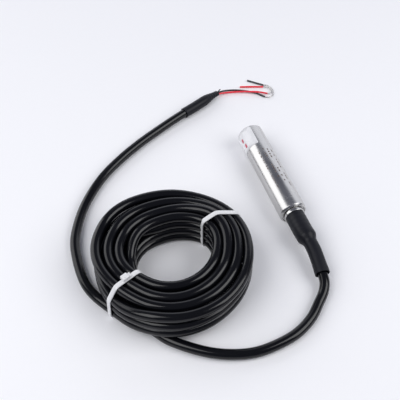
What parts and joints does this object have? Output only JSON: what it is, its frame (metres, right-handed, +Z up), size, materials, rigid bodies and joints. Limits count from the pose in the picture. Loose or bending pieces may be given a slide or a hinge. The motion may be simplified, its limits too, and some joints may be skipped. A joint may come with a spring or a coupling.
{
  "type": "liquid level sensor",
  "caption": "Submersible rod-shaped liquid level probe in turned stainless steel, with a vented cable coiled and tied, ending in stripped signal wires.",
  "frame": {"origin": "bottom centre of the probe's metal body, on the surface that the probe, coil and cable lie on", "axes": "+Y along the probe towards its pressure port, +Z up, +X to the side away from the coil"},
  "size_m": [0.2215, 0.2789, 0.0349],
  "materials": {
    "turned_stainless": "fine turned, semi-bright",
    "seal_rubber": "matt",
    "insulating_film": "satin film",
    "holder_plastic": "matt moulded",
    "board_green": "solder mask",
    "chip_epoxy": "matt moulded",
    "trimmer_blue": "gloss moulded",
    "can_aluminium": "drawn",
    "pvc_red": "extruded, semi-gloss",
    "pvc_black": "extruded, semi-gloss",
    "vent_nylon": "extruded",
    "vent_nylon_dark": "extruded",
    "brass_parts": "turned",
    "cable_jacket": "extruded polyurethane, glossy",
    "heat_shrink": "shrunk polyolefin, semi-matt",
    "tie_nylon": "moulded nylon",
    "gold_plating": "plated",
    "lead_enamel": "enamelled",
    "tinned_copper": "tinned strands"
  },
  "bodies": {
    "root": {"board_holder_front": "holder_plastic", "board_holder_rear": "holder_plastic", "board_vent_tube": "vent_nylon", "board_wire_black": "pvc_black", "board_wire_red": "pvc_red", "cable_coil": "cable_jacket", "cable_crimp": "brass_parts", "cable_entry": "cable_jacket", "cable_probe_lead": "cable_jacket", "cable_tail_lead": "cable_jacket", "capacitor_1": "can_aluminium", "capacitor_2": "can_aluminium", "capsule_o_ring": "seal_rubber", "capsule_vent_tube": "turned_stainless", "chip_1": "chip_epoxy", "chip_2": "chip_epoxy", "circuit_board": "board_green", "compression_nut": "turned_stainless", "diaphragm": "turned_stainless", "gland_body": "turned_stainless", "gland_o_ring": "seal_rubber", "header_lead_1": "lead_enamel", "header_lead_2": "lead_enamel", "header_lead_3": "lead_enamel", "header_lead_4": "lead_enamel", "header_pin_1": "gold_plating", "header_pin_2": "gold_plating", "header_pin_3": "gold_plating", "header_pin_4": "gold_plating", "heat_shrink_inner": "heat_shrink", "heat_shrink_outer": "heat_shrink", "housing": "turned_stainless", "insulating_sleeve": "insulating_film", "nose_cap": "turned_stainless", "retaining_ring": "turned_stainless", "seal_grommet": "seal_rubber", "sensor_capsule": "turned_stainless", "slug_black": "pvc_black", "slug_red": "pvc_red", "strands_black": "tinned_copper", "strands_red": "tinned_copper", "tail_sleeve": "heat_shrink", "thrust_washer_front": "brass_parts", "thrust_washer_rear": "brass_parts", "tie_far": "tie_nylon", "tie_near": "tie_nylon", "trimmer_1": "trimmer_blue", "trimmer_2": "trimmer_blue", "vent_capillary": "vent_nylon_dark", "wire_black": "pvc_black", "wire_red": "pvc_red"}
  },
  "joints": []
}
